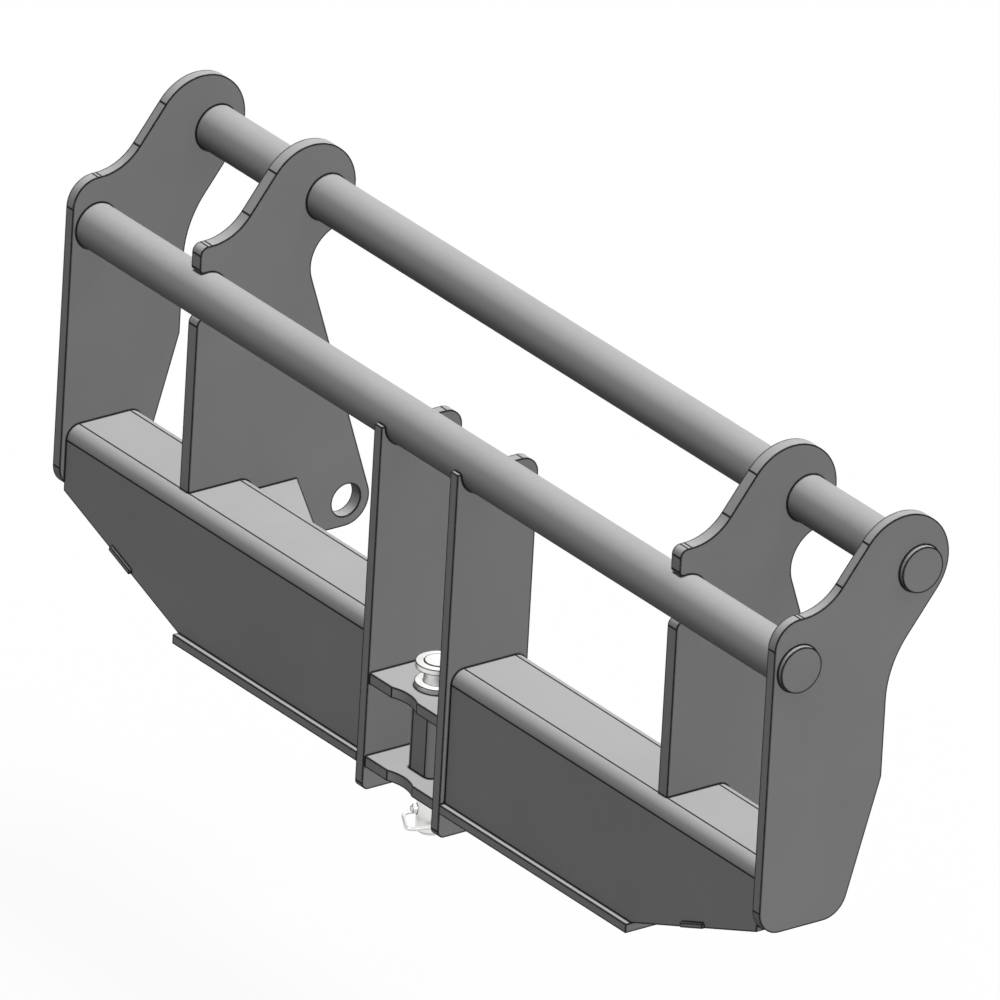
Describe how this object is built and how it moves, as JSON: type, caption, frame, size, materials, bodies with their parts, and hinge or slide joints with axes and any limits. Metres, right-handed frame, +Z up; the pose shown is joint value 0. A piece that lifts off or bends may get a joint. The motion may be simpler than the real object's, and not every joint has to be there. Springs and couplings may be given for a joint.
{
  "type": "loader adapter frame",
  "caption": "Welded adapter frame with two round cross bars in upright plates over a tapered box beam, with locking eyes and a drop pin between shelves.",
  "frame": {"origin": "middle of the upper bar, which the loader carries, on the frame's centre plane", "axes": "+X to the right seen from the front, along the bars; +Y to the rear, towards the loader; +Z up"},
  "size_m": [1.224, 0.251, 0.5759],
  "materials": {
    "plate_steel": "satin grey primer on flat plate with cut edges",
    "beam_steel": "satin grey primer on bent plate",
    "bar_steel": "satin grey primer on drawn round bar",
    "pin_steel": "bright zinc plate, turned",
    "wire_steel": "bright zinc plate on spring wire"
  },
  "bodies": {
    "frame": {"upper_bar": "bar_steel", "lower_bar": "bar_steel", "left_side_plate": "plate_steel", "right_side_plate": "plate_steel", "left_ear_plate": "plate_steel", "right_ear_plate": "plate_steel", "left_centre_plate": "plate_steel", "right_centre_plate": "plate_steel", "left_beam": "beam_steel", "right_beam": "beam_steel", "left_bottom_plate": "beam_steel", "right_bottom_plate": "beam_steel", "left_end_plate": "beam_steel", "right_end_plate": "beam_steel", "left_gusset": "beam_steel", "right_gusset": "beam_steel", "upper_shelf": "plate_steel", "lower_shelf": "plate_steel", "guide_tube": "plate_steel"},
    "drop_pin": {"pin_shank": "pin_steel", "pin_disc": "pin_steel", "pin_collar": "pin_steel"},
    "linchpin": {"linchpin": "wire_steel"},
    "wire_loop": {"wire_loop": "wire_steel"}
  },
  "joints": [
    {"name": "pin_lift", "type": "slide", "parent": "frame", "child": "drop_pin", "axis": [0, 0, 1], "range_m": [0, 0.024]},
    {"name": "linchpin_pull", "type": "slide", "parent": "drop_pin", "child": "linchpin", "axis": [0.5, 0.866, 0], "range_m": [0, 0.008]},
    {"name": "loop_swing", "type": "hinge", "parent": "linchpin", "child": "wire_loop", "pos_m": [0.01325, -0.10905, -0.4965], "axis": [0.866, -0.5, 0], "range_deg": [0, 110], "stiffness_Nm_per_rad": 0.006, "springref_deg": -60.16}
  ]
}
